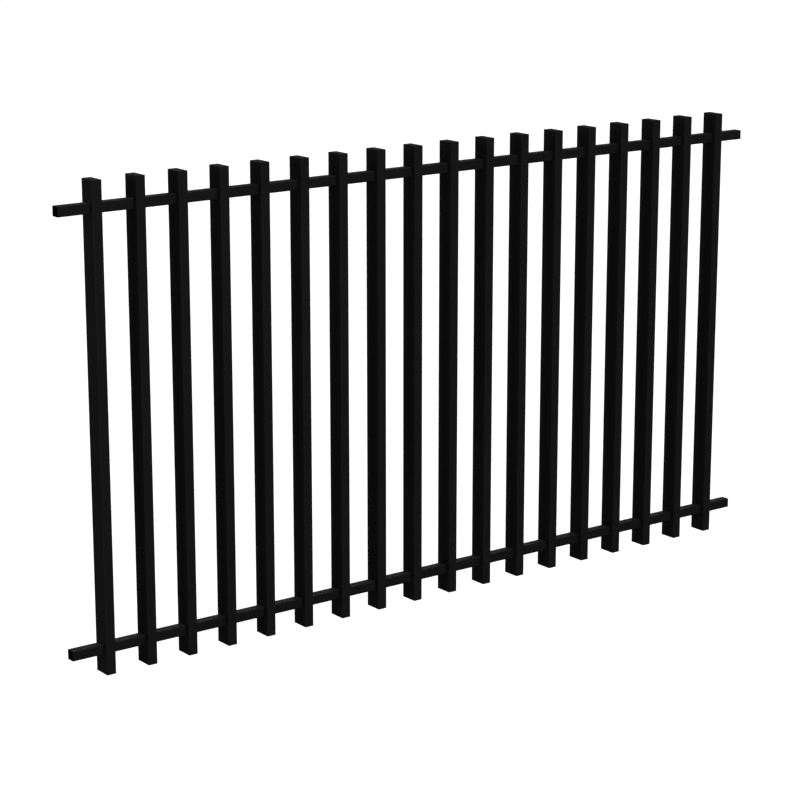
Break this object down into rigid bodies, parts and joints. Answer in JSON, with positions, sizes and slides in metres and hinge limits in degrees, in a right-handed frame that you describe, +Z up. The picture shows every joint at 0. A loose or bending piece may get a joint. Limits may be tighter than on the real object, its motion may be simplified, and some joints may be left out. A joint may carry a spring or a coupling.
{
  "type": "metal batten fence panel",
  "caption": "Straight open fence panel of upright box-section battens threaded on two square rails, whose open ends run past the last battens to meet posts.",
  "frame": {"origin": "centre of the lower rail's left end face, where the panel meets the post or bracket that holds it", "axes": "+X along the rails to the right of a viewer at the front, +Y from front to back, +Z up"},
  "size_m": [2.1592, 0.05, 1.2],
  "materials": {
    "powder_coat": "satin",
    "cap_plastic": "satin"
  },
  "bodies": {
    "root": {"rail_lower": "powder_coat", "rail_upper": "powder_coat", "batten_01": "powder_coat", "batten_02": "powder_coat", "batten_03": "powder_coat", "batten_04": "powder_coat", "batten_05": "powder_coat", "batten_06": "powder_coat", "batten_07": "powder_coat", "batten_08": "powder_coat", "batten_09": "powder_coat", "batten_10": "powder_coat", "batten_11": "powder_coat", "batten_12": "powder_coat", "batten_13": "powder_coat", "batten_14": "powder_coat", "batten_15": "powder_coat", "batten_16": "powder_coat", "batten_17": "powder_coat", "batten_18": "powder_coat", "caps_upper": "cap_plastic", "caps_lower": "cap_plastic"}
  },
  "joints": []
}
